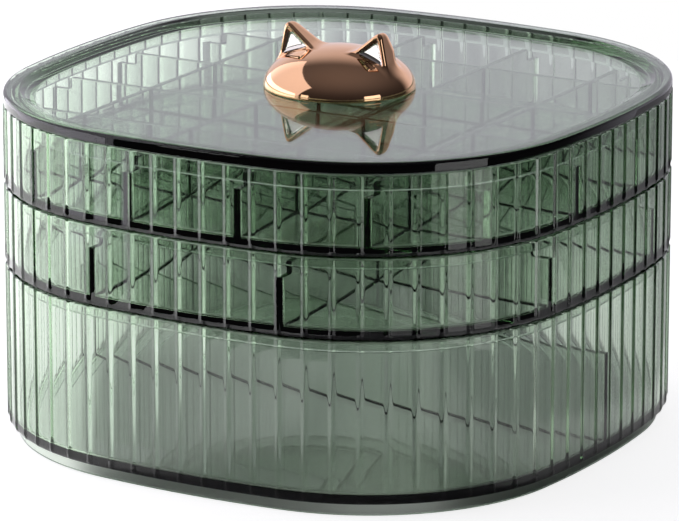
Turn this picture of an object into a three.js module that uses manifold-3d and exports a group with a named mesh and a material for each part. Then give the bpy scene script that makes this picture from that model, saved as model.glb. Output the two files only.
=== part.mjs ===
// Jewelry box of tinted clear acrylic: three fluted trays that nest in a stack, a dished lid
// and a metal-look knob with two ears. Millimetres, +Z up. The origin is the centre of the
// foot, on the surface that the box stands on. The front is towards -Y.
import * as THREE from 'three';
import { mergeVertices } from 'three/addons/utils/BufferGeometryUtils.js';
import Module from 'manifold-3d';

const wasm = await Module();
wasm.setup();

// Plan of the trays: a square with bowed sides and large round corners
const trayHalfWidth = 95;
const sideArcRadius = 300;
const cornerArcRadius = 68.5;

// Stack heights and running gaps
const deepWallHeight = 50;
const shallowWallHeight = 25;
const seatGap = 0.3;
const nestClearance = 0.5;

// Tray walls, floors and the ring under each floor that nests in the tray below
const wallThickness = 2.4;
const floorThickness = 2.5;
const footHeight = 4.2;
const footThickness = 2;
const footEdge = 0.5;
const lowerEdgeRise = 1.8;
const lowerEdgeInset = 0.9;

// Ribs of the fluted walls
const ribPitch = 8.33;
const ribWidth = 2.2;
const ribHeight = 0.35;
const ribCrestShare = 0.4;

// Dividers: their tops stay below the wall, and step down near it to clear the piece above
const dividerThickness = 2;
const dividerDrop = 3.6;
const dividerEndDrop = 7.4;
const dividerEndReach = 6;
const lowerDividerHeight = 28;
const middleCellPitch = 65;
const upperCellPitch = 38;

// Lid: a rim slopes down to a sunk panel, and a lip hangs inside the upper tray's wall
const lidOverhang = 0.2;
const rimHeight = 3.5;
const rimWidth = 5.3;
const rimEdge = 1.2;
const panelRecess = 2.3;
const panelSlopeWidth = 4.2;
const panelThickness = 2;
const lipDepth = 5.6;
const lipThickness = 2;

// Knob: half an ellipsoid with two ears
const knobWidth = 49;
const knobDepth = 46;
const knobHeight = 12.5;
const knobEdge = 0.4;
const earInnerShare = 0.27;
const earOuterShare = 0.77;
const earPeakShare = 0.71;
const earRise = 7.8;
const earSink = 1.9;
const earFrontInset = 4.4;
const earRootDepth = 8.6;
const earPeakDepth = 3.6;
const earPeakRound = 3.4;
const earBorder = 1.2;
const earRecessDepth = 1.3;

// Screws that hold the knob from below the lid's panel
const screwSpacing = 20;
const screwHeadRadius = 2.9;
const screwHeadHeight = 1.8;
const screwShankRadius = 1.4;
const screwShankLength = 7.5;
const screwHoleGap = 0.3;

// Mesh fineness, and how far a cutter runs past what it cuts
const quarterSteps = 24;
const knobTurns = 48;
const knobRings = 10;
const curveSteps = 6;
const screwTurns = 20;
const cutOverrun = 1;

// Tint of the acrylic, the knob's plating and the screws
const acrylic = new THREE.MeshStandardMaterial({
  color: 0x9fb0a8,
  roughness: 0.06,
  metalness: 0,
  transparent: true,
  opacity: 0.45,
});
const roseGold = new THREE.MeshStandardMaterial({ color: 0xc98d6f, roughness: 0.12, metalness: 1 });
const steel = new THREE.MeshStandardMaterial({ color: 0xb9bcc0, roughness: 0.3, metalness: 1 });

// The arcs of the plan meet smoothly, and every offset of it shares their centres
const sideCentre = sideArcRadius - trayHalfWidth;
const arcCentreDistance = sideArcRadius - cornerArcRadius;
const cornerCentre = (Math.sqrt(2 * arcCentreDistance ** 2 - sideCentre ** 2) - sideCentre) / 2;
const tangentAngle = Math.atan2(cornerCentre, cornerCentre + sideCentre);
const sideRun = sideArcRadius * tangentAngle;
const cornerRun = cornerArcRadius * (Math.PI / 2 - 2 * tangentAngle);
const quarterRun = 2 * sideRun + cornerRun;
const ribCount = 4 * Math.round(quarterRun / ribPitch);

// Levels of the stack, from the table up
const lowerBase = footHeight;
const middleBase = lowerBase + deepWallHeight + seatGap;
const upperBase = middleBase + shallowWallHeight + seatGap;
const lidBase = upperBase + shallowWallHeight + seatGap;
const lidTop = lidBase + rimHeight;
const panelTop = lidTop - panelRecess;
const panelBottom = panelTop - panelThickness;
const knobBase = panelTop + seatGap;
const nestInset = wallThickness + nestClearance;

// Point of the plan outline at a distance along it from the middle of the +X side
function outlinePoint(distance, inset) {
  const turn = Math.floor(distance / quarterRun);
  const along = distance - turn * quarterRun;
  let centre = new THREE.Vector2(-sideCentre, 0);
  let radius = sideArcRadius;
  let angle = along / sideArcRadius;
  if (along > sideRun + cornerRun) {
    centre = new THREE.Vector2(0, -sideCentre);
    angle = Math.PI / 2 - (quarterRun - along) / sideArcRadius;
  } else if (along > sideRun) {
    centre = new THREE.Vector2(cornerCentre, cornerCentre);
    radius = cornerArcRadius;
    angle = tangentAngle + (along - sideRun) / cornerArcRadius;
  }
  const reach = radius - inset;
  const point = new THREE.Vector2(reach * Math.cos(angle), reach * Math.sin(angle)).add(centre);
  return point.rotateAround(new THREE.Vector2(), turn * Math.PI / 2);
}

function smoothOutline(inset) {
  const count = 4 * quarterSteps;
  return Array.from({ length: count }, (unused, i) => outlinePoint(i * quarterRun / quarterSteps, inset));
}

// Outline whose flat panels are parted by low ribs with a flat crest and sloped flanks
function flutedOutline(inset, rise) {
  const pitch = 4 * quarterRun / ribCount;
  const crestWidth = ribWidth * ribCrestShare;
  const profile = [
    { offset: -ribWidth / 2, height: 0 },
    { offset: -crestWidth / 2, height: rise },
    { offset: crestWidth / 2, height: rise },
    { offset: ribWidth / 2, height: 0 },
  ];
  const ribs = Array.from({ length: ribCount }, (unused, i) => i * pitch);
  return ribs.flatMap((middle) => profile.map(({ offset, height }) => {
    const distance = (middle + offset + 4 * quarterRun) % (4 * quarterRun);
    return outlinePoint(distance, inset - height);
  }));
}

function toSolid(geometry) {
  const bare = new THREE.BufferGeometry();
  bare.setAttribute('position', geometry.getAttribute('position'));
  if (geometry.index) bare.setIndex(geometry.index);
  const merged = mergeVertices(bare);
  const mesh = new wasm.Mesh({
    numProp: 3,
    vertProperties: new Float32Array(merged.getAttribute('position').array),
    triVerts: new Uint32Array(merged.index.array),
  });
  return new wasm.Manifold(mesh);
}

// Closed solid through rings of equal point count, given from the bottom up
function loft(rings) {
  const count = rings[0].points.length;
  const positions = rings.flatMap(({ points, z }) => points.flatMap(({ x, y }) => [x, y, z]));
  const faces = [];
  for (let level = 0; level + 1 < rings.length; level++) {
    for (let i = 0; i < count; i++) {
      const near = level * count + i;
      const far = level * count + (i + 1) % count;
      faces.push(near, far, far + count, near, far + count, near + count);
    }
  }
  const topStart = (rings.length - 1) * count;
  for (const [a, b, c] of THREE.ShapeUtils.triangulateShape(rings[0].points, [])) {
    faces.push(a, c, b);
  }
  for (const [a, b, c] of THREE.ShapeUtils.triangulateShape(rings.at(-1).points, [])) {
    faces.push(topStart + a, topStart + b, topStart + c);
  }
  const geometry = new THREE.BufferGeometry();
  geometry.setAttribute('position', new THREE.Float32BufferAttribute(positions, 3));
  geometry.setIndex(faces);
  return toSolid(geometry);
}

function prism(inset, bottom, top) {
  const points = smoothOutline(inset);
  return loft([{ points, z: bottom }, { points, z: top }]);
}

function box(width, depth, bottom, top, x, y) {
  const geometry = new THREE.BoxGeometry(width, depth, top - bottom);
  geometry.translate(x, y, (bottom + top) / 2);
  return toSolid(geometry);
}

// Fluted wall and floor in one shell, with the foot ring below
function trayShell(base, wallHeight) {
  const top = base + wallHeight;
  const body = loft([
    { points: flutedOutline(lowerEdgeInset, 0), z: base },
    { points: flutedOutline(0, ribHeight), z: base + lowerEdgeRise },
    { points: flutedOutline(0, ribHeight), z: top },
  ]);
  const hollow = prism(wallThickness, base + floorThickness, top + cutOverrun);
  const footLow = base - footHeight;
  const foot = loft([
    { points: smoothOutline(nestInset + footEdge), z: footLow },
    { points: smoothOutline(nestInset), z: footLow + footEdge },
    { points: smoothOutline(nestInset), z: base + floorThickness / 2 },
  ]);
  const footHollow = prism(nestInset + footThickness, footLow - cutOverrun, base + floorThickness);
  return body.subtract(hollow).add(foot.subtract(footHollow));
}

// Crossing dividers of a square grid, moulded into the floor and the wall
function dividerGrid(base, wallHeight, cellPitch) {
  const wallTop = base + wallHeight;
  const root = base + floorThickness / 2;
  const length = 2 * trayHalfWidth;
  const reach = Math.ceil(trayHalfWidth / cellPitch - 1);
  const offsets = Array.from({ length: 2 * reach }, (unused, i) => (i + 1 / 2 - reach) * cellPitch);
  const across = offsets.map((y) => box(length, dividerThickness, root, wallTop, 0, y));
  const along = offsets.map((x) => box(dividerThickness, length, root, wallTop, x, 0));
  const bars = wasm.Manifold.union([...across, ...along]);
  const middle = prism(wallThickness + dividerEndReach, root, wallTop - dividerDrop);
  const ends = prism(wallThickness / 2, root, wallTop - dividerEndDrop);
  return bars.intersect(middle.add(ends));
}

function makeLowerTray() {
  const root = lowerBase + floorThickness / 2;
  const top = lowerBase + floorThickness + lowerDividerHeight;
  const bar = box(2 * trayHalfWidth, dividerThickness, root, top, 0, 0);
  const divider = bar.intersect(prism(wallThickness / 2, root, top));
  return trayShell(lowerBase, deepWallHeight).add(divider);
}

function makeShallowTray(base, cellPitch) {
  return trayShell(base, shallowWallHeight).add(dividerGrid(base, shallowWallHeight, cellPitch));
}

function screwHole() {
  const geometry = new THREE.CylinderGeometry(
    screwShankRadius + screwHoleGap,
    screwShankRadius + screwHoleGap,
    2 * screwShankLength,
    screwTurns,
  );
  geometry.rotateX(Math.PI / 2);
  return toSolid(geometry);
}

// The holes run from below the lid's panel to just above the screws' ends inside the knob
function cutScrewHoles(solid) {
  const middle = panelBottom - seatGap + screwHoleGap;
  const left = screwHole().translate([-screwSpacing / 2, 0, middle]);
  const right = screwHole().translate([screwSpacing / 2, 0, middle]);
  return solid.subtract(left).subtract(right);
}

function makeLid() {
  const rim = loft([
    { points: smoothOutline(-lidOverhang), z: lidBase },
    { points: smoothOutline(-lidOverhang), z: lidTop - rimEdge },
    { points: smoothOutline(rimEdge - lidOverhang), z: lidTop },
  ]);
  const lipLow = lidBase - lipDepth;
  const lip = prism(nestInset, lipLow, lidBase + rimHeight / 2);
  const dishInset = rimWidth - lidOverhang;
  const dish = loft([
    { points: smoothOutline(dishInset + panelSlopeWidth), z: panelTop },
    { points: smoothOutline(dishInset), z: lidTop },
    { points: smoothOutline(dishInset), z: lidTop + cutOverrun },
  ]);
  const underside = prism(nestInset + lipThickness, lipLow - cutOverrun, panelBottom);
  return cutScrewHoles(rim.add(lip).subtract(dish).subtract(underside));
}

function domeSolid() {
  const profile = [new THREE.Vector2(0, 0), new THREE.Vector2(knobWidth / 2 - knobEdge, 0)];
  for (let ring = 0; ring <= knobRings; ring++) {
    const angle = ring / knobRings * Math.PI / 2;
    const radius = ring === knobRings ? 0 : knobWidth / 2 * Math.cos(angle);
    profile.push(new THREE.Vector2(radius, knobEdge + (knobHeight - knobEdge) * Math.sin(angle)));
  }
  const geometry = new THREE.LatheGeometry(profile, knobTurns);
  geometry.rotateX(Math.PI / 2);
  geometry.scale(1, knobDepth / knobWidth, 1);
  return toSolid(geometry);
}

// Where two lines cross, each given by a point and a direction
function crossing(firstPoint, firstWay, secondPoint, secondWay) {
  const apart = secondPoint.clone().sub(firstPoint);
  const step = apart.cross(secondWay) / firstWay.cross(secondWay);
  return firstPoint.clone().addScaledVector(firstWay, step);
}

// Corners of a counter-clockwise triangle, each side moved inwards by its own distance
function insetTriangle(corners, distances) {
  const sides = corners.map((corner, i) => {
    const way = corners[(i + 1) % 3].clone().sub(corner).normalize();
    const inwards = new THREE.Vector2(-way.y, way.x);
    return { point: corner.clone().addScaledVector(inwards, distances[i]), way };
  });
  return sides.map((side, i) => {
    const before = sides[(i + 2) % 3];
    return crossing(before.point, before.way, side.point, side.way);
  });
}

// Triangle with its third corner rounded off
function earShape([innerFoot, outerFoot, peak], round) {
  const fromOuter = outerFoot.clone().sub(peak).setLength(round).add(peak);
  const fromInner = innerFoot.clone().sub(peak).setLength(round).add(peak);
  const shape = new THREE.Shape();
  shape.moveTo(innerFoot.x, innerFoot.y);
  shape.lineTo(outerFoot.x, outerFoot.y);
  shape.lineTo(fromOuter.x, fromOuter.y);
  shape.quadraticCurveTo(peak.x, peak.y, fromInner.x, fromInner.y);
  return shape;
}

// Extrusion from the ear's front face towards +Y, drawn in the X-Z plane
function extrudeBack(shape, depth) {
  const geometry = new THREE.ExtrudeGeometry(shape, { depth, bevelEnabled: false, curveSegments: curveSteps });
  geometry.rotateX(Math.PI / 2);
  geometry.translate(0, depth - earFrontInset, 0);
  return geometry;
}

// Height of the dome above its base, over a place on the ear's front face
function domeRise(x) {
  const share = 1 - (2 * x / knobWidth) ** 2 - (2 * earFrontInset / knobDepth) ** 2;
  return knobEdge + (knobHeight - knobEdge) * Math.sqrt(share);
}

// The ear thins from its root to its peak, with a triangular recess in its front
function earSolid() {
  const innerReach = earInnerShare * knobWidth / 2;
  const outerReach = earOuterShare * knobWidth / 2;
  const corners = [
    new THREE.Vector2(innerReach, domeRise(innerReach) - earSink),
    new THREE.Vector2(outerReach, domeRise(outerReach) - earSink),
    new THREE.Vector2(earPeakShare * knobWidth / 2, knobHeight + earRise),
  ];
  const rootLevel = corners[1].y;
  const peakLevel = corners[2].y;
  const outer = extrudeBack(earShape(corners, earPeakRound), 1);
  const position = outer.getAttribute('position');
  for (let i = 0; i < position.count; i++) {
    const back = position.getY(i) + earFrontInset;
    const rise = (position.getZ(i) - rootLevel) / (peakLevel - rootLevel);
    const depth = THREE.MathUtils.lerp(earRootDepth, earPeakDepth, rise);
    position.setY(i, back * depth - earFrontInset);
  }
  const recessCorners = insetTriangle(corners, [earSink + earBorder, earBorder, earBorder]);
  const recess = extrudeBack(earShape(recessCorners, earPeakRound / 2), earRecessDepth + cutOverrun);
  recess.translate(0, -cutOverrun, 0);
  return toSolid(outer).subtract(toSolid(recess));
}

function makeKnob() {
  const rightEar = earSolid();
  const leftEar = rightEar.mirror([1, 0, 0]);
  const knob = domeSolid().add(rightEar).add(leftEar).translate([0, 0, knobBase]);
  return cutScrewHoles(knob);
}

function makeScrew() {
  const headTop = panelBottom - seatGap;
  const profile = [
    new THREE.Vector2(0, headTop - screwHeadHeight),
    new THREE.Vector2(screwHeadRadius / 2, headTop - screwHeadHeight),
    new THREE.Vector2(screwHeadRadius, headTop - screwHeadHeight / 2),
    new THREE.Vector2(screwHeadRadius, headTop),
    new THREE.Vector2(screwShankRadius, headTop),
    new THREE.Vector2(screwShankRadius, headTop + screwShankLength),
    new THREE.Vector2(0, headTop + screwShankLength),
  ];
  const geometry = new THREE.LatheGeometry(profile, screwTurns);
  geometry.rotateX(Math.PI / 2);
  return toSolid(geometry);
}

function toMesh(name, solid, material) {
  const { vertProperties, triVerts } = solid.getMesh();
  const geometry = new THREE.BufferGeometry();
  geometry.setAttribute('position', new THREE.Float32BufferAttribute(vertProperties, 3));
  geometry.setIndex(new THREE.Uint32BufferAttribute(triVerts, 1));
  geometry.computeVertexNormals();
  const mesh = new THREE.Mesh(geometry, material);
  mesh.name = name;
  return mesh;
}

function knobScrew(name, x) {
  const mesh = toMesh(name, makeScrew(), steel);
  mesh.position.x = x;
  return mesh;
}

const jewelryBox = new THREE.Group();
jewelryBox.add(toMesh('lower_tray', makeLowerTray(), acrylic));
jewelryBox.add(toMesh('middle_tray', makeShallowTray(middleBase, middleCellPitch), acrylic));
jewelryBox.add(toMesh('upper_tray', makeShallowTray(upperBase, upperCellPitch), acrylic));
jewelryBox.add(toMesh('lid', makeLid(), acrylic));
jewelryBox.add(toMesh('knob', makeKnob(), roseGold));
jewelryBox.add(knobScrew('knob_screw_left', -screwSpacing / 2));
jewelryBox.add(knobScrew('knob_screw_right', screwSpacing / 2));

export default jewelryBox;
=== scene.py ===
import math

import bmesh
import bpy
import numpy as np
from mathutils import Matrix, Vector


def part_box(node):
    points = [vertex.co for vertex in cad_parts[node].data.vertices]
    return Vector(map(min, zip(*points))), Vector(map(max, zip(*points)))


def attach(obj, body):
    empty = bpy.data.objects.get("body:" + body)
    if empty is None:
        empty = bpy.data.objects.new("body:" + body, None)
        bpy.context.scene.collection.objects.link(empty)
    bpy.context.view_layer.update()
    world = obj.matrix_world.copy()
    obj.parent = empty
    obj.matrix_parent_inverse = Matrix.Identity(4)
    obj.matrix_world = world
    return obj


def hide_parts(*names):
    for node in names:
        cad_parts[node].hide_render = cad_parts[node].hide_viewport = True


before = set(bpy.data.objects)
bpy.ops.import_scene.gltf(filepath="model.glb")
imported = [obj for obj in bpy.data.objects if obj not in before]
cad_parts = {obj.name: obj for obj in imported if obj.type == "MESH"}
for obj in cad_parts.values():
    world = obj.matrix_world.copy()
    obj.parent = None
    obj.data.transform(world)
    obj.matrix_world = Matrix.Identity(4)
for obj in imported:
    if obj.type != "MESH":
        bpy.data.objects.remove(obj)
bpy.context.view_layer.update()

# Lengths in this script are millimetres, and meshes are made in metres
MM = 0.001

# Plan of the trays: bowed sides of one radius that run into round corners
HALF_WIDTH = 95.0
SIDE_RADIUS = 300.0
CORNER_RADIUS = 68.5
SIDE_CENTRE = SIDE_RADIUS - HALF_WIDTH
ARC_APART = SIDE_RADIUS - CORNER_RADIUS
CORNER_CENTRE = (math.sqrt(2 * ARC_APART**2 - SIDE_CENTRE**2) - SIDE_CENTRE) / 2
TANGENT = math.atan2(CORNER_CENTRE, CORNER_CENTRE + SIDE_CENTRE)
SIDE_RUN = SIDE_RADIUS * TANGENT
CORNER_RUN = CORNER_RADIUS * (math.pi / 2 - 2 * TANGENT)
QUARTER = 2 * SIDE_RUN + CORNER_RUN
PERIMETER = 4 * QUARTER

# Levels of the stack
LOWER_BASE = 4.2
MIDDLE_BASE = 54.5
UPPER_BASE = 79.8
DEEP_WALL = 50.0
SHALLOW_WALL = 25.0
LID_BASE = 105.1
LID_TOP = 108.6
PANEL_TOP = 106.3
PANEL_BOTTOM = 104.3
LIP_LOW = 99.5
KNOB_BASE = 106.35

# Walls, floors and the foot ring that nests in the piece below
WALL = 2.4
FLOOR = 2.5
FOOT_HEIGHT = 4.2
FOOT_INSET = 2.9
FOOT_THICK = 2.0
LOW_RISE = 1.8
LOW_INSET = 0.9
TRAY_FAN_INSET = 24.0

# Rows of points this far beside a rounding keep its shading off the flat parts
GUARD = 0.2
WALL_GUARD = 0.25
FLOOR_GUARD = 0.3

# Flutes: upright ribs with straight flanks, and dished panels between them
RIB_COUNT = 76
PITCH = PERIMETER / RIB_COUNT
FLUTE_DISH = 0.2
RIB_ACROSS = np.array([0, 0.1, 0.2, 0.3, 0.42, 0.6, 0.78, 0.95, 1.1, 1.25, 1.4, 1.55])
RIB_HEIGHT = np.array(
    [0.35, 0.346, 0.33, 0.297, 0.25, 0.157, 0.064, -0.024, -0.08, -0.113, -0.13, -0.138]
)
PANEL_STEPS = [1.8, 2.1, 2.5, 2.9, 3.3, 3.65]

# Dividers: their lines across a tray, how far their tops lie below the rim in the middle and at
# the ends, and how high over the tray's base they root. The ones across have their own root and
# crown, so that no faces of the two lie in one plane.
MIDDLE_LINES = (-32.5, 32.5)
UPPER_LINES = (-57.0, -19.0, 19.0, 57.0)
GRID_DROP = 3.6
GRID_END_DROP = 7.4
LOW_DIVIDER_HEIGHT = 28.0
ROOT = 1.2
CROSS_ROOT = 1.21
CROWN = 0.02
CROSS_CROWN = 0.03
STEP_INSET = 6.0

# Lid: its rim, the slope down to the panel, and the holes for the knob's screws
LID_POINTS = 480
LID_PROUD = 0.2
LID_RIM = 5.1
LID_SLOPE_END = 9.3
LID_FAN_INSET = 26.0
LIP_THICK = 2.0
SCREW_PLACES = {"left": -10.0, "right": 10.0}
HOLE_RADIUS = 1.7
HOLE_POINTS = 48

# Knob: the dome, and an ear's outline seen from the front
DOME_RADII = (23.9, 22.6, 12.5)
DOME_LIFT = 0.3
EAR = [(5.5, 11.0), (19.6, 6.0), (16.8, 20.2)]
EAR_FRONT = -4.6
EAR_BACK = 4.0
EAR_ROUND = 2.6
RECESS_ROUND = 1.6
RECESS_INSET = 1.05
RECESS_MARK = 0.95
KNOB_LOW = (-25.3, -23.9, -0.6)
KNOB_HIGH = (25.3, 23.9, 20.6)
KNOB_STEP = 0.4

# Screws
HEAD_RADIUS = 2.9
HEAD_HEIGHT = 1.8
THREAD_PITCH = 1.05
THREAD_DEPTH = 0.3
SHANK_RADIUS = 1.09
SHANK_END = 9.25
SLOT_HALF = 0.36
SLOT_REACH = 1.55
SLOT_DEPTH = 1.1
SCREW_LOW = (-3.2, -3.2, -0.3)
SCREW_HIGH = (3.2, 3.2, 9.7)
SCREW_STEP = 0.15

# Edges that turn by more degrees than this are sharp, and so is the border of a level face
SHARP_ANGLE = 40
LEVEL = 0.999999


def outline(run, inset):
    """Points of the plan outline at distances along it, moved inwards by inset."""
    run = np.mod(np.asarray(run, float), PERIMETER)
    turn = np.floor(run / QUARTER)
    along = run - turn * QUARTER
    first = along <= SIDE_RUN
    last = along > SIDE_RUN + CORNER_RUN
    angle = TANGENT + (along - SIDE_RUN) / CORNER_RADIUS
    angle = np.where(first, along / SIDE_RADIUS, angle)
    angle = np.where(last, math.pi / 2 - (QUARTER - along) / SIDE_RADIUS, angle)
    radius = np.where(first | last, SIDE_RADIUS, CORNER_RADIUS) - inset
    cx = np.where(first, -SIDE_CENTRE, np.where(last, 0.0, CORNER_CENTRE))
    cy = np.where(first, 0.0, np.where(last, -SIDE_CENTRE, CORNER_CENTRE))
    x = cx + radius * np.cos(angle)
    y = cy + radius * np.sin(angle)
    c, s = np.cos(turn * math.pi / 2), np.sin(turn * math.pi / 2)
    return np.stack([c * x - s * y, s * x + c * y], 1)


def half_chord(y, inset):
    """Reach of the outline in X at a place y in plan."""
    y = np.abs(np.asarray(y, float))
    side_radius, corner_radius = SIDE_RADIUS - inset, CORNER_RADIUS - inset
    side = np.sqrt(np.maximum(side_radius**2 - y**2, 0)) - SIDE_CENTRE
    rest = np.maximum(corner_radius**2 - (y - CORNER_CENTRE) ** 2, 0)
    return np.where(y <= side_radius * math.sin(TANGENT), side, CORNER_CENTRE + np.sqrt(rest))


def rib_profile(offset):
    """Height of the fluted wall over the plan outline, at a distance from a rib's middle."""
    away = np.abs(offset)
    rib = np.interp(away, RIB_ACROSS, RIB_HEIGHT)
    reach = PITCH / 2
    share = np.clip((reach - away) / (reach - RIB_ACROSS[-1]), 0, 1)
    dish = RIB_HEIGHT[-1] - (FLUTE_DISH + RIB_HEIGHT[-1]) * (1 - share**2)
    return np.where(away < RIB_ACROSS[-1], rib, dish)


def fluted_runs():
    """Distances along the outline at which the fluted wall has points, and its height at each."""
    steps = np.concatenate([RIB_ACROSS, PANEL_STEPS])
    offsets = np.concatenate([-steps[:0:-1], steps, [PITCH / 2]])
    runs = (np.arange(RIB_COUNT)[:, None] * PITCH + offsets[None, :]).ravel()
    return runs, np.tile(rib_profile(offsets), RIB_COUNT)


def arc(cx, cz, radius, start, end, steps, rise=None):
    """Points (inset, z) on an arc, angles in degrees from the +inset axis towards +z."""
    rise = rise or radius
    angles = np.radians(np.linspace(start, end, steps + 1))
    return [(cx + radius * math.cos(a), cz + rise * math.sin(a)) for a in angles]


def marked(points, mark):
    """The same points with one more value each."""
    return [(*point, mark) for point in points]


def make_object(name, verts, faces):
    """Scene object with a mesh of these vertices, given in millimetres."""
    mesh = bpy.data.meshes.new(name)
    mesh.from_pydata([tuple(v) for v in np.asarray(verts) * MM], [], faces)
    mesh.validate()
    obj = bpy.data.objects.new(name, mesh)
    bpy.context.scene.collection.objects.link(obj)
    return obj


def sweep(name, rings):
    """Closed solid through rings of equal count, its ends filled by fans."""
    count = len(rings[0])
    verts = np.concatenate(rings)
    i = np.arange(count)
    j = (i + 1) % count
    faces = []
    for k in range(len(rings) - 1):
        a, b = k * count, (k + 1) * count
        faces += np.stack([a + i, b + i, b + j, a + j], 1).tolist()
    first, last = len(verts), len(verts) + 1
    verts = np.vstack([verts, rings[0].mean(0), rings[-1].mean(0)])
    end = (len(rings) - 1) * count
    faces += np.stack([i, j, np.full(count, first)], 1).tolist()
    faces += np.stack([end + j, end + i, np.full(count, last)], 1).tolist()
    return make_object(name, verts, faces)


def ring(runs, inset, z, rise=0.0):
    """Closed row of points at a level, inset from the outline and pushed out again by rise."""
    flat = outline(runs, inset - rise)
    return np.column_stack([flat, np.full(len(flat), z)])


def tray_shell(name, base, wall):
    """Tray without dividers, swept along its section from the floor over the wall to the foot."""
    top = base + wall
    floor = base + FLOOR
    low = base - FOOT_HEIGHT
    fillet, soft = 1.2, 0.45

    # Each point of the section is an inset, a level and the share of the flutes there
    path = [(TRAY_FAN_INSET, floor, 0), (WALL + fillet + FLOOR_GUARD, floor, 0)]
    path += marked(arc(WALL + fillet, floor + fillet, fillet, 270, 180, 6), 0)
    path += [(WALL, floor + fillet + WALL_GUARD, 0), (WALL, top - soft - WALL_GUARD, 0)]
    path += marked(arc(WALL - soft, top - soft, soft, 0, 90, 4), 0)
    path += marked(arc(soft, top - soft, soft, 90, 180, 4), 1)
    path += [(0, top - soft - WALL_GUARD, 1), (0, base + LOW_RISE + WALL_GUARD, 1)]
    for i, z in arc(LOW_INSET, base + LOW_RISE, LOW_INSET, 180, 270, 7, LOW_RISE):
        path.append((i, z, math.sqrt(max(0.0, (z - base) / LOW_RISE))))

    # The foot ring stands under the wall, with a fillet where it meets the underside
    nook, outer, edge, root = 0.3, 0.5, 0.4, 0.6
    inner = FOOT_INSET + FOOT_THICK
    path += [(LOW_INSET + FLOOR_GUARD, base, 0), (FOOT_INSET - nook - GUARD, base, 0)]
    path += marked(arc(FOOT_INSET - nook, base - nook, nook, 90, 0, 3), 0)
    path += [(FOOT_INSET, base - nook - GUARD, 0), (FOOT_INSET, low + outer + WALL_GUARD, 0)]
    path += marked(arc(FOOT_INSET + outer, low + outer, outer, 180, 270, 4), 0)
    path += [(inner - edge - GUARD, low, 0)]
    path += marked(arc(inner - edge, low + edge, edge, 270, 360, 3), 0)
    path += [(inner, low + edge + GUARD, 0), (inner, base - root - GUARD, 0)]
    path += marked(arc(inner + root, base - root, root, 180, 90, 4), 0)
    path += [(inner + root + FLOOR_GUARD, base, 0), (TRAY_FAN_INSET, base, 0)]

    runs, rise = fluted_runs()
    return sweep(name, [ring(runs, i, z, share * rise) for i, z, share in path])


def bar_profile(root, floor, crown):
    """Section of a divider as (y, z, from_top), where z is a level or counts from its top."""
    low_half, high_half, fillet, soft = 1.05, 0.95, 0.6, 0.35
    edge = low_half + fillet
    side = [(edge, root, 0), (edge, floor - 0.03, 0)]
    side += marked(arc(edge, floor + fillet, fillet, 270, 180, 6)[1:], 0)
    side += marked(arc(high_half - soft, -soft, soft, 0, 90, 4), 1)
    return side + [(0.0, crown, 1)] + [(-y, z, from_top) for y, z, from_top in reversed(side)]


def bar_stations(drop):
    """Rows along half a divider, from its step to its end in the wall.

    Each has what its place is measured from, the place, and how much wider and lower it is there.
    """
    flare, over, under = 1.0, 0.7, 0.9
    stations = []
    if drop > 0:
        stations += [("step", -3.0, 0, 0), ("step", -0.9, 0, 0)]
        turns = [math.radians(22.5 * k) for k in range(5)]
        for t in turns:
            stations.append(("step", over * math.sin(t) - over, 0, over * (1 - math.cos(t))))
        for t in turns:
            lower = drop - under * (1 - math.sin(t))
            stations.append(("step", under * (1 - math.cos(t)) + 0.02, 0, lower))
        stations.append(("step", 1.3, 0, drop))
    stations.append(("wall", flare + 0.8, 0, drop))
    for k in range(7):
        t = math.radians(15 * k)
        stations.append(("wall", flare - flare * math.sin(t), flare * (1 - math.cos(t)), drop))
    stations.append(("wall", -1.2, flare, drop))
    return stations


def bar(name, across, root, floor, top, drop, crown=CROWN):
    """Upright divider along X at y = across, from wall to wall, with a fillet to the floor.

    Near both walls its top steps down by drop, so that the piece above nests, and its ends flare.
    """
    profile = bar_profile(root, floor, crown)
    half = bar_stations(drop)
    rings = []
    for sign, row in [(1, row) for row in reversed(half)] + [(-1, row) for row in half]:
        kind, spot, wider, lower = row
        points = []
        for y, z, from_top in profile:
            plan_y = across + y + wider * np.sign(y)
            if kind == "wall":
                x = half_chord(plan_y, WALL) - spot
            else:
                x = half_chord(plan_y, WALL + STEP_INSET) + spot
            points.append((sign * float(x), plan_y, top + z - lower if from_top else z))
        rings.append(np.array(points))
    return sweep(name, rings)


def bake(obj):
    """Applies obj's modifiers into a fresh mesh."""
    graph = bpy.context.evaluated_depsgraph_get()
    graph.update()
    mesh = bpy.data.meshes.new_from_object(obj.evaluated_get(graph))
    obj.modifiers.clear()
    old = obj.data
    obj.data = mesh
    bpy.data.meshes.remove(old)
    mesh.name = obj.name


def combine(first, others, operation="UNION"):
    """Joins the other solids to the first one, or takes them from it, and removes them."""
    for other in others:
        modifier = first.modifiers.new("cut", "BOOLEAN")
        modifier.operation = operation
        modifier.solver = "MANIFOLD"
        modifier.object = other
        bake(first)
        bpy.data.objects.remove(other)
    return first


def vertex_array(obj):
    """Places of obj's vertices, one row each, in metres."""
    co = np.empty(len(obj.data.vertices) * 3)
    obj.data.vertices.foreach_get("co", co)
    return co.reshape(-1, 3)


def turned(obj):
    """Turns obj's mesh a quarter turn about Z."""
    x, y, z = vertex_array(obj).T
    obj.data.vertices.foreach_set("co", np.column_stack([-y, x, z]).ravel())
    return obj


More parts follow.
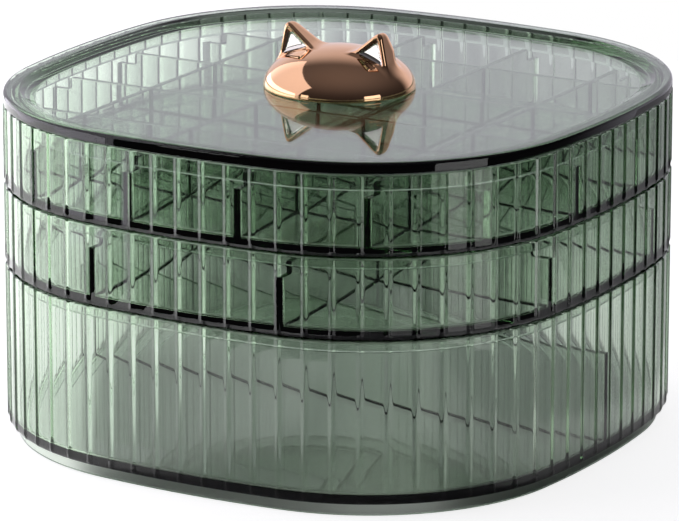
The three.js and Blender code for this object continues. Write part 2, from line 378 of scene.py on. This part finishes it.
def finish_normals(obj):
    """Smooth shading with sharp edges where the shape turns, and true normals on level faces."""
    mesh = obj.data
    mesh.shade_smooth()
    mesh.set_sharp_from_angle(angle=math.radians(SHARP_ANGLE))
    work = bmesh.new()
    work.from_mesh(mesh)
    for edge in work.edges:
        if sum(abs(face.normal.z) > LEVEL for face in edge.link_faces) == 1:
            edge.smooth = False
    work.to_mesh(mesh)
    work.free()
    modifier = obj.modifiers.new("weight", "WEIGHTED_NORMAL")
    modifier.mode = "FACE_AREA"
    modifier.keep_sharp = True
    modifier.weight = 50
    bake(obj)
    return obj


def grid(name, base, wall, lines):
    """Dividers along both ways of a tray, joined to one solid."""
    floor = base + FLOOR
    top = base + wall - GRID_DROP
    step = GRID_END_DROP - GRID_DROP
    parts = []
    for k, line in enumerate(lines):
        parts.append(bar(f"{name}_x{k}", line, base + ROOT, floor, top, step))
        cross = bar(f"{name}_y{k}", line, base + CROSS_ROOT, floor, top, step, CROSS_CROWN)
        parts.append(turned(cross))
    return combine(parts[0], parts[1:])


def make_tray(name, base, wall, lines=()):
    """Tray with a grid of dividers on these lines, or with one low divider."""
    shell = tray_shell(name, base, wall)
    if lines:
        dividers = grid(name + "_grid", base, wall, lines)
    else:
        floor = base + FLOOR
        dividers = bar(name + "_bar", 0.0, base + ROOT, floor, floor + LOW_DIVIDER_HEIGHT, 0.0)
    combine(shell, [dividers])
    return finish_normals(shell)


def make_lid(name):
    """Lid, swept along its section from the panel's top over the rim and lip to its underside."""
    runs = np.arange(LID_POINTS) * PERIMETER / LID_POINTS
    soft, edge, tip, fillet = 1.2, 0.3, 0.4, 1.0
    foot, lip = LID_SLOPE_END, FOOT_INSET + LIP_THICK
    path = [(LID_FAN_INSET, PANEL_TOP), (foot + 0.6, PANEL_TOP), (foot + 0.2, PANEL_TOP + 0.02)]
    path += [(foot - 0.15, PANEL_TOP + 0.12), (LID_RIM + 0.25, LID_TOP - 0.16)]
    path += [(LID_RIM, LID_TOP - 0.05), (LID_RIM - 0.25, LID_TOP), (soft, LID_TOP)]
    path += arc(soft - LID_PROUD, LID_TOP - soft, soft, 90, 180, 9)
    path += [(-LID_PROUD, LID_TOP - soft - GUARD), (-LID_PROUD, LID_BASE + edge + GUARD)]
    path += arc(edge - LID_PROUD, LID_BASE + edge, edge, 180, 270, 4)
    path += [(edge, LID_BASE), (FOOT_INSET - edge - GUARD, LID_BASE)]
    path += arc(FOOT_INSET - edge, LID_BASE - edge, edge, 90, 0, 3)
    path += [(FOOT_INSET, LID_BASE - edge - GUARD), (FOOT_INSET, LIP_LOW + tip + GUARD)]
    path += arc(FOOT_INSET + tip, LIP_LOW + tip, tip, 180, 270, 4)
    path += arc(lip - tip, LIP_LOW + tip, tip, 270, 360, 4)
    path += [(lip, LIP_LOW + tip + GUARD), (lip, PANEL_BOTTOM - fillet - GUARD)]
    path += arc(lip + fillet, PANEL_BOTTOM - fillet, fillet, 180, 90, 5)
    path += [(lip + fillet + FLOOR_GUARD, PANEL_BOTTOM), (LID_FAN_INSET, PANEL_BOTTOM)]
    lid = sweep(name, [ring(runs, i, z) for i, z in path])

    turn = np.arange(HOLE_POINTS) / HOLE_POINTS * 2 * math.pi
    holes = []
    for x in SCREW_PLACES.values():
        circle = np.column_stack([x + HOLE_RADIUS * np.cos(turn), HOLE_RADIUS * np.sin(turn)])
        levels = (PANEL_TOP + 2, PANEL_BOTTOM - 2)
        ends = [np.column_stack([circle, np.full(HOLE_POINTS, z)]) for z in levels]
        holes.append(sweep("hole", ends))
    combine(lid, holes, "DIFFERENCE")
    return finish_normals(lid)


def surface_net(field, lo, step):
    """Quads round the zero level of a field on a grid, as vertices and faces."""
    inside = field < 0
    nx, ny, nz = (n - 1 for n in inside.shape)
    corners = [
        inside[i : i + nx, j : j + ny, k : k + nz] for i in (0, 1) for j in (0, 1) for k in (0, 1)
    ]
    total = sum(c.astype(np.int8) for c in corners)
    mixed = (total > 0) & (total < 8)
    index = -np.ones(mixed.shape, np.int64)
    cells = np.argwhere(mixed)
    index[mixed] = np.arange(len(cells))
    verts = lo + (cells + 0.5) * step
    faces = []
    for axis in range(3):
        ahead = [slice(None)] * 3
        ahead[axis] = slice(1, None)
        here = [slice(None)] * 3
        here[axis] = slice(0, -1)
        a = inside[tuple(here)]
        b = inside[tuple(ahead)]
        u, v = [d for d in range(3) if d != axis]
        for start, flip in ((a & ~b, False), (~a & b, True)):
            at = np.argwhere(start)
            at = at[(at[:, u] > 0) & (at[:, v] > 0)]
            quad = []
            for du, dv in ((1, 1), (0, 1), (0, 0), (1, 0)):
                cell = at.copy()
                cell[:, u] -= du
                cell[:, v] -= dv
                quad.append(index[cell[:, 0], cell[:, 1], cell[:, 2]])
            quad = np.stack(quad, 1)
            turn = flip != (axis == 1)
            faces.append(quad[:, ::-1] if turn else quad)
    return verts, np.concatenate(faces)


def gradient(shape, points):
    """Slope of a distance function at points, by central differences."""
    h = 0.004
    out = np.empty_like(points)
    for axis in range(3):
        offset = np.zeros(3)
        offset[axis] = h
        out[:, axis] = (shape(points + offset) - shape(points - offset)) / (2 * h)
    return out


def carved(name, shape, lo, hi, step, base):
    """Mesh of the solid where shape(points) < 0, its vertices drawn onto the zero level."""
    axes = [np.arange(a, b + step, step) for a, b in zip(lo, hi)]
    field = np.empty([len(a) for a in axes])
    yy, zz = np.meshgrid(axes[1], axes[2], indexing="ij")
    for k, x in enumerate(axes[0]):
        points = np.column_stack([np.full(yy.size, x), yy.ravel(), zz.ravel()])
        field[k] = shape(points).reshape(yy.shape)
    verts, faces = surface_net(field, np.array(lo), step)
    for _ in range(6):
        g = gradient(shape, verts)
        size = np.maximum((g * g).sum(1), 0.05)
        move = -(shape(verts) / size)[:, None] * g
        length = np.linalg.norm(move, axis=1)
        verts = verts + move * np.minimum(1, 0.5 * step / np.maximum(length, 1e-9))[:, None]
    g = gradient(shape, verts)
    normals = g / np.maximum(np.linalg.norm(g, axis=1), 1e-9)[:, None]
    obj = make_object(name, verts + np.array(base), faces.tolist())
    if len(obj.data.vertices) == len(normals):
        obj.data.shade_smooth()
        obj.data.normals_split_custom_set_from_vertices([tuple(n) for n in normals])
    return obj


def smooth_min(a, b, k):
    """Union of two distances, with a blend of width k between them."""
    h = np.clip(0.5 + 0.5 * (b - a) / k, 0, 1)
    return b + (a - b) * h - k * h * (1 - h)


def smooth_max(a, b, k):
    """Common part of two distances, with an edge rounded over a width k."""
    return -smooth_min(-a, -b, k)


def ellipsoid(p, radii):
    """Distance to an ellipsoid round the origin, near enough close to its surface."""
    r = np.array(radii)
    k0 = np.linalg.norm(p / r, axis=1)
    k1 = np.linalg.norm(p / (r * r), axis=1)
    return k0 * (k0 - 1) / np.maximum(k1, 1e-6)


def triangle(px, pz, corners, rounding):
    """Distance to a counter-clockwise triangle with rounded corners, negative inside."""
    sides = []
    for (ax, az), (bx, bz) in zip(corners, corners[1:] + corners[:1]):
        size = math.hypot(bx - ax, bz - az)
        sides.append(((px - ax) * (bz - az) - (pz - az) * (bx - ax)) / size)
    return smooth_max(smooth_max(sides[0], sides[1], rounding), sides[2], rounding)


def knob_shape(p):
    """Dome with two ears, each hollowed from the front, on a flat underside."""
    x, y, z = np.abs(p[:, 0]), p[:, 1], p[:, 2]
    dome = ellipsoid(p - np.array([0, 0, DOME_LIFT]), DOME_RADII)

    # The back of an ear leans forward towards its tip, and its front is flat
    lean = 0.45 * np.maximum(z - 13.0, 0)
    back = (y - EAR_BACK + lean) * 0.92
    ear = smooth_max(triangle(x, z, EAR, EAR_ROUND), back, 3.0)
    ear = smooth_max(ear, EAR_FRONT - y, 1.2)

    # The recess follows the outline, ends above the dome and gets deeper towards the tip
    low = (EAR[0][1] + 1.5 - z) + (x - EAR[0][0]) * -0.3
    hollow = smooth_max(triangle(x, z, EAR, RECESS_ROUND) + RECESS_INSET, low, 0.8)
    depth = 0.5 + (z - 9.0) * 0.13
    bowl = smooth_max(hollow * 0.85 + (y - EAR_FRONT) * 0.5, y - EAR_FRONT - depth, 0.4)
    ear = smooth_max(ear, -bowl, 0.35)

    body = smooth_min(dome, ear, 1.8)
    return smooth_max(body, -z, 0.45)


def inner_ear(knob):
    """Marks how far each vertex lies in the recess of an ear, for the material."""
    x, y, z = (vertex_array(knob) / MM - np.array([0, 0, KNOB_BASE])).T
    inside = np.clip((-triangle(np.abs(x), z, EAR, RECESS_ROUND) - RECESS_MARK) / 0.3, 0, 1)
    inside *= np.clip((y - EAR_FRONT - 0.05) / 0.2, 0, 1) * (y < 0)
    mark = knob.data.attributes.new("inner_ear", "FLOAT", "POINT")
    mark.data.foreach_set("value", inside)


def screw_shape(p):
    """Pan head below, shank above with a coarse thread, and a cross recess from below."""
    x, y, z = p.T
    r = np.hypot(x, y)
    ball = np.linalg.norm(np.column_stack([x, y, (z - 2.0) * 1.6]), axis=1) - 3.2
    head = smooth_max(ball, r - HEAD_RADIUS, 0.4)
    head = smooth_max(head, z - HEAD_HEIGHT, 0.2)
    head = smooth_max(head, 0.02 - z, 0.3)

    turn = np.arctan2(y, x) / (2 * math.pi)
    phase = np.mod(z / THREAD_PITCH - turn, 1.0)
    thread = np.clip(1 - np.abs(phase - 0.5) * 5.0, 0, 1) * THREAD_DEPTH
    fade = np.clip((9.0 - z) / 1.5, 0.1, 1)
    shank = smooth_max(r - SHANK_RADIUS - thread * fade, z - SHANK_END, 0.25)
    shank = smooth_max(shank, r - 0.4 - (9.3 - z) * 0.7, 0.3)
    shank = np.maximum(shank * 0.7, 0.5 - z)
    body = smooth_min(head, shank, 0.2)

    reach = SLOT_REACH - z * 0.5
    along_x = np.maximum(np.abs(y) - SLOT_HALF, np.abs(x) - reach)
    along_y = np.maximum(np.abs(x) - SLOT_HALF, np.abs(y) - reach)
    slot = np.maximum(np.minimum(along_y, along_x), z - SLOT_DEPTH)
    return smooth_max(body, -slot, 0.12)


def material(name):
    """New material with nodes: itself, its tree, its Principled shader and its output."""
    mat = bpy.data.materials.new(name)
    mat.use_nodes = True
    tree = mat.node_tree
    return mat, tree, tree.nodes["Principled BSDF"], tree.nodes["Material Output"]


def noise(tree, scale, detail=2.0, distortion=0.0, stretch=None):
    """Grey clouds in the object's own space."""
    source = tree.nodes.new("ShaderNodeTexCoord").outputs["Object"]
    if stretch:
        mapping = tree.nodes.new("ShaderNodeMapping")
        mapping.inputs["Scale"].default_value = stretch
        tree.links.new(source, mapping.inputs["Vector"])
        source = mapping.outputs["Vector"]
    node = tree.nodes.new("ShaderNodeTexNoise")
    node.inputs["Scale"].default_value = scale
    node.inputs["Detail"].default_value = detail
    node.inputs["Distortion"].default_value = distortion
    tree.links.new(source, node.inputs["Vector"])
    return node.outputs["Fac"]


def ramp(tree, source, low, high, dark, light):
    """Colour that runs from dark to light as source runs from low to high."""
    node = tree.nodes.new("ShaderNodeValToRGB")
    for element, position, colour in zip(node.color_ramp.elements, (low, high), (dark, light)):
        element.position = position
        element.color = (*colour, 1)
    tree.links.new(source, node.inputs["Fac"])
    return node.outputs["Color"]


def mix(tree, factor, first, second):
    """Blend of two colours, each a link or plain numbers."""
    node = tree.nodes.new("ShaderNodeMixRGB")
    tree.links.new(factor, node.inputs["Fac"])
    for socket, colour in ((node.inputs["Color1"], first), (node.inputs["Color2"], second)):
        if isinstance(colour, tuple):
            socket.default_value = (*colour, 1)
        else:
            tree.links.new(colour, socket)
    return node.outputs["Color"]


def spread(tree, source, low, high, start=0.0, end=1.0, smooth=False):
    """Number that runs from start to end as source runs from low to high."""
    node = tree.nodes.new("ShaderNodeMapRange")
    if smooth:
        node.interpolation_type = "SMOOTHSTEP"
    node.inputs["From Min"].default_value = low
    node.inputs["From Max"].default_value = high
    node.inputs["To Min"].default_value = start
    node.inputs["To Max"].default_value = end
    tree.links.new(source, node.inputs["Value"])
    return node.outputs["Result"]


def bump(tree, source, strength, distance):
    """Normal for a surface that source raises by up to distance, in metres."""
    node = tree.nodes.new("ShaderNodeBump")
    node.inputs["Strength"].default_value = strength
    node.inputs["Distance"].default_value = distance
    tree.links.new(source, node.inputs["Height"])
    return node.outputs["Normal"]


def calculate(tree, operation, *values):
    """Result of a Math node on values, each a link or a plain number."""
    node = tree.nodes.new("ShaderNodeMath")
    node.operation = operation
    for socket, value in zip(node.inputs, values):
        if isinstance(value, float):
            socket.default_value = value
        else:
            tree.links.new(value, socket)
    return node.outputs[0]


def vector_value(tree, operation, source, way=None):
    """Number that a Vector Math node makes of source, and of a fixed direction if there is one."""
    node = tree.nodes.new("ShaderNodeVectorMath")
    node.operation = operation
    tree.links.new(source, node.inputs[0])
    if way:
        node.inputs[1].default_value = way
    return node.outputs["Value"]


def dress(tree, shader, colour, roughness, normal):
    """Links a surface's varying colour, roughness and normal to its shader."""
    tree.links.new(colour, shader.inputs["Base Color"])
    tree.links.new(roughness, shader.inputs["Roughness"])
    tree.links.new(normal, shader.inputs["Normal"])


def acrylic():
    """Clear plastic that absorbs red and blue on the way through, with faint haze and waves."""
    mat, tree, shader, out = material("tinted_acrylic")
    shader.inputs["Transmission Weight"].default_value = 1.0
    shader.inputs["IOR"].default_value = 1.49
    cloud = noise(tree, 14.0, 2.0, 0.4)
    tint = ramp(tree, cloud, 0.3, 0.7, (0.965, 0.975, 0.97), (0.985, 0.99, 0.985))
    haze = spread(tree, noise(tree, 60.0, 3.0), 0.0, 1.0, 0.0, 0.02)
    flow = noise(tree, 22.0, 1.0, 0.0, (1, 1, 0.35))
    dress(tree, shader, tint, haze, bump(tree, flow, 0.12, 0.0006))
    volume = tree.nodes.new("ShaderNodeVolumeAbsorption")
    volume.inputs["Color"].default_value = (0.4, 0.575, 0.378, 1)
    volume.inputs["Density"].default_value = 170.0
    tree.links.new(volume.outputs["Volume"], out.inputs["Volume"])
    return mat


def rose_gold():
    """Polished plating with faint smears, paler in the recesses of the ears."""
    mat, tree, shader, _ = material("rose_gold")
    shader.inputs["Metallic"].default_value = 1.0
    cloud = noise(tree, 55.0, 3.0, 0.5)
    tint = ramp(tree, cloud, 0.3, 0.75, (0.84, 0.475, 0.275), (0.9, 0.54, 0.325))
    mark = tree.nodes.new("ShaderNodeAttribute")
    mark.attribute_name = "inner_ear"
    pearl = mix(tree, mark.outputs["Fac"], tint, (0.87, 0.83, 0.78))
    smear = spread(tree, noise(tree, 160.0, 4.0), 0.0, 1.0, 0.035, 0.085)
    dress(tree, shader, pearl, smear, bump(tree, noise(tree, 90.0), 0.08, 0.0002))
    return mat


def steel():
    """Plain plated steel, brushed along its axis."""
    mat, tree, shader, _ = material("screw_steel")
    shader.inputs["Metallic"].default_value = 1.0
    tint = ramp(tree, noise(tree, 300.0, 3.0), 0.3, 0.7, (0.5, 0.5, 0.52), (0.66, 0.66, 0.68))
    brushed = noise(tree, 700.0, 2.0, 0.0, (1, 1, 6))
    rough = spread(tree, brushed, 0.0, 1.0, 0.2, 0.42)
    dress(tree, shader, tint, rough, bump(tree, brushed, 0.15, 0.00005))
    return mat


def place(obj, body, slot, mat, *nodes):
    """Gives a piece its material and body, and hides the CAD nodes that it stands for."""
    obj.data.materials.clear()
    obj.data.materials.append(mat)
    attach(obj, body)
    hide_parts(*nodes)


clear = acrylic()
gold = rose_gold()
bright = steel()

lower = make_tray("lower_tray_clear", LOWER_BASE, DEEP_WALL)
place(lower, "lower_tray_body", "tinted_acrylic", clear, "lower_tray")
middle = make_tray("middle_tray_clear", MIDDLE_BASE, SHALLOW_WALL, MIDDLE_LINES)
place(middle, "middle_tray_body", "tinted_acrylic", clear, "middle_tray")
upper = make_tray("upper_tray_clear", UPPER_BASE, SHALLOW_WALL, UPPER_LINES)
place(upper, "upper_tray_body", "tinted_acrylic", clear, "upper_tray")
lid = make_lid("lid_clear")
place(lid, "lid_body", "tinted_acrylic", clear, "lid")
knob = carved("knob_eared", knob_shape, KNOB_LOW, KNOB_HIGH, KNOB_STEP, (0, 0, KNOB_BASE))
place(knob, "lid_body", "rose_gold", gold, "knob")
inner_ear(knob)
for side, x in SCREW_PLACES.items():
    at = (x, 0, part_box("knob_screw_" + side)[0].z / MM)
    screw = carved("screw_" + side, screw_shape, SCREW_LOW, SCREW_HIGH, SCREW_STEP, at)
    place(screw, "lid_body", "screw_steel", bright, "knob_screw_" + side)

# Level of the floor's glow for the camera, and the painted light and painted shadow on the floor
# that
# glass and metal see: painted shade where the box and a dark room would shade a pale table, and
# painted patches of light. Each stop is a share of a way along the floor and a level there. A
# doubled first stop makes its curve start level.
CAMERA_FLOOR = 0.82
RIGHT = (0.864, 0.503, 0.0)
BEHIND = (-0.503, 0.864, 0.0)
# Painted pool of light on the floor towards the front left
PAINTED_GLARE_WAY = (-0.94, -0.34, 0.0)
PAINTED_GLARE = ((0.42, 0.1), (0.75, 1.0))
# Painted light at the left, falling off into a painted shadow behind the box
LEFT_PAINTED_LIGHT = ((0.0, 1.1), (0.1, 0.9), (0.18, 0.28), (0.26, 0.04), (1.0, 0.04))
# Painted patch of light on the floor at the right
RIGHT_PAINTED_LIGHT = (
    ((0.0, 0.0), (0.0, 0.0), (0.5, 0.0), (0.55, 0.25))
    + ((0.59, 0.65), (0.73, 0.7), (0.8, 0.26), (1.0, 0.2))
)
# Painted light and painted shade on the floor under the box: bright at its left end, dark under the
# rest
UNDER_PAINTED_SHADING = (
    ((0.0, 1.0), (0.08, 0.85), (0.15, 0.12), (0.22, 0.06))
    + ((0.4, 0.08), (0.6, 0.2), (0.7, 0.04), (1.0, 0.02))
)
# Painted patch at the right fades further behind the box
NEAR_PAINTED_LIGHT = ((0.0, 1.0), (1.0, 0.2))

# Studio round the box: the way to its bright back and how that fades upwards, the tints of its
# light, and the level that the lamps face
BACK_WAY = (-0.375, 0.927, 0.0)
BACK_RISE = ((0.3, 1.0), (0.5, 0.8), (0.64, 0.75), (1.0, 0.6))
STUDIO_TINT = (1.0, 0.965, 1.08)
LAMP_TINT = (0.94, 0.91, 1.0)
LAMP_AIM = 110


def glow_along(tree, spot, way, low, high, stops):
    """Grey level that follows stops along a direction, between two distances from the middle."""
    share = spread(tree, vector_value(tree, "DOT_PRODUCT", spot, way), low, high)
    top = float(max(value for _, value in stops))
    scaled = [(at, value / top) for at, value in stops]
    curve = tree.nodes.new("ShaderNodeFloatCurve")
    points = curve.mapping.curves[0].points
    points[0].location, points[1].location = scaled[0], scaled[-1]
    for at, value in scaled[1:-1]:
        points.new(at, value)
    curve.mapping.update()
    tree.links.new(share, curve.inputs["Value"])
    return calculate(tree, "MULTIPLY", curve.outputs["Value"], top)


def painted_table_shading(tree):
    """Painted light and painted shadow on the floor that glass and metal see: bright at the left,
    with a painted patch of light at the right and a painted shadow of the box between.
    """
    spot = tree.nodes.new("ShaderNodeTexCoord").outputs["Object"]
    near = glow_along(tree, spot, BEHIND, 0.15, 0.25, NEAR_PAINTED_LIGHT)
    right = glow_along(tree, spot, RIGHT, -0.1, 0.2, RIGHT_PAINTED_LIGHT)
    left = glow_along(tree, spot, RIGHT, -0.1, 0.1, LEFT_PAINTED_LIGHT)
    beside = calculate(tree, "ADD", left, calculate(tree, "MULTIPLY", right, near))
    # Painted light and painted shade on the floor right under the box
    beneath = glow_along(tree, spot, RIGHT, -0.1, 0.1, UNDER_PAINTED_SHADING)
    away = spread(tree, vector_value(tree, "LENGTH", spot), 0.09, 0.125, smooth=True)
    outer = calculate(tree, "MULTIPLY", beside, away)
    inner = calculate(tree, "MULTIPLY", beneath, calculate(tree, "SUBTRACT", 1.0, away))
    # Painted pool of light towards the front left
    glare = glow_along(tree, spot, PAINTED_GLARE_WAY, 0.0, 0.2, PAINTED_GLARE)
    return calculate(tree, "MAXIMUM", calculate(tree, "ADD", outer, inner), glare)


def plain_floor():
    """Pale floor that takes shadows, white to the camera, with painted light and a painted shadow
    of the box that only the acrylic and metal see.
    """
    mat, tree, shader, out = material("pale_floor")
    shader.inputs["Base Color"].default_value = (0.78, 0.78, 0.78, 1)
    shader.inputs["Roughness"].default_value = 0.9
    shader.inputs["Specular IOR Level"].default_value = 0.0
    rays = tree.nodes.new("ShaderNodeLightPath").outputs
    # Transmission and glossy rays see the floor's painted light and painted shadow
    bent = calculate(tree, "MAXIMUM", rays["Is Transmission Ray"], rays["Is Glossy Ray"])
    shown = calculate(tree, "MULTIPLY", bent, painted_table_shading(tree))
    lift = calculate(tree, "MULTIPLY", rays["Is Camera Ray"], CAMERA_FLOOR)
    glow = tree.nodes.new("ShaderNodeEmission")
    glow.inputs["Color"].default_value = (1, 1, 1, 1)
    tree.links.new(calculate(tree, "MAXIMUM", lift, shown), glow.inputs["Strength"])
    both = tree.nodes.new("ShaderNodeAddShader")
    tree.links.new(shader.outputs["BSDF"], both.inputs[0])
    tree.links.new(glow.outputs["Emission"], both.inputs[1])
    tree.links.new(both.outputs["Shader"], out.inputs["Surface"])
    return mat


def make_stage():
    """Floor that ends soon in front and at the right, and runs on behind and to the left."""
    near, far = 250.0, 480.0
    corners = [(-far, -near, 0), (near, -near, 0), (near, far, 0), (-far, far, 0)]
    floor = make_object("studio_floor", corners, [(0, 1, 2, 3)])
    floor.data.materials.append(plain_floor())


def make_world():
    """White to the camera; a studio with a bright back and a dark front to every other ray."""
    world = bpy.data.worlds.new("studio")
    bpy.context.scene.world = world
    world.use_nodes = True
    tree = world.node_tree
    way = tree.nodes.new("ShaderNodeTexCoord").outputs["Generated"]
    split = tree.nodes.new("ShaderNodeSeparateXYZ")
    tree.links.new(way, split.inputs[0])
    height = split.outputs["Z"]
    rise = tree.nodes.new("ShaderNodeValToRGB")
    points = rise.color_ramp.elements
    for point, (at, value) in zip(points, (BACK_RISE[0], BACK_RISE[-1])):
        point.position = at
        point.color = (value, value, value, 1)
    for at, value in BACK_RISE[1:-1]:
        points.new(at).color = (value, value, value, 1)
    tree.links.new(height, rise.inputs["Fac"])
    towards = vector_value(tree, "DOT_PRODUCT", way, BACK_WAY)
    side = spread(tree, towards, 0.46, 0.84, 0.0, 0.8, smooth=True)
    back = calculate(tree, "MULTIPLY", rise.outputs["Color"], side)
    roof = spread(tree, calculate(tree, "MULTIPLY", height, height), 0.0, 1.0, 0.03, 0.15)
    bright = calculate(tree, "ADD", back, roof)
    to_camera = tree.nodes.new("ShaderNodeLightPath").outputs["Is Camera Ray"]
    background = tree.nodes["Background"]
    tree.links.new(calculate(tree, "MAXIMUM", bright, to_camera), background.inputs["Strength"])
    tree.links.new(mix(tree, to_camera, STUDIO_TINT, (1, 1, 1)), background.inputs["Color"])


def lamp(name, azimuth, level, distance, size, radiance, colour=(1, 1, 1)):
    """Panel at an azimuth, level and distance from the knob's axis, turned towards the box."""
    a = math.radians(azimuth)
    data = bpy.data.lights.new(name, "AREA")
    data.shape = "RECTANGLE"
    width, height = size
    data.size = width * MM
    data.size_y = height * MM
    data.energy = radiance * math.pi * width * height * MM * MM
    data.color = colour
    obj = bpy.data.objects.new(name, data)
    bpy.context.scene.collection.objects.link(obj)
    spot = Vector((math.sin(a) * distance, -math.cos(a) * distance, level))
    obj.location = spot * MM
    obj.visible_camera = False
    obj.rotation_euler = (spot - Vector((0, 0, LAMP_AIM))).to_track_quat("Z", "Y").to_euler()


def make_lights():
    """Large soft panels at the left, a small one in front and one at the right."""
    lamp("left_panel", -77, 448, distance=1050, size=(1960, 1660), radiance=1.06, colour=LAMP_TINT)
    lamp("left_strip", -81, -20, distance=1035, size=(1720, 700), radiance=1.74, colour=LAMP_TINT)
    lamp("front_box", -26, 190, distance=1500, size=(300, 380), radiance=1.5)
    lamp("right_box", 75, 30, distance=1300, size=(620, 800), radiance=1.6)


def make_camera():
    """Camera at the photo's angle: azimuth and elevation in degrees, the rest in metres."""
    azimuth, elevation = math.radians(30.19), math.radians(15.59)
    distance, look_at = 1.6678, Vector((0, 0, 0.05055))
    data = bpy.data.cameras.new("camera")
    data.lens = 284.4
    data.sensor_width = 36
    data.clip_start = 0.05
    data.clip_end = 50
    camera = bpy.data.objects.new("camera", data)
    bpy.context.scene.collection.objects.link(camera)
    flat = math.cos(elevation)
    way = Vector((math.sin(azimuth) * flat, -math.cos(azimuth) * flat, math.sin(elevation)))
    camera.location = look_at + way * distance
    camera.rotation_euler = way.to_track_quat("Z", "Y").to_euler()
    bpy.context.scene.camera = camera


make_stage()
make_world()
make_lights()
make_camera()

scene = bpy.context.scene
scene.view_settings.view_transform = "Standard"

# Light passes many walls of acrylic before it leaves the box
scene.cycles.max_bounces = 40
scene.cycles.transmission_bounces = 40
scene.cycles.glossy_bounces = 24
scene.cycles.transparent_max_bounces = 24
scene.cycles.diffuse_bounces = 4
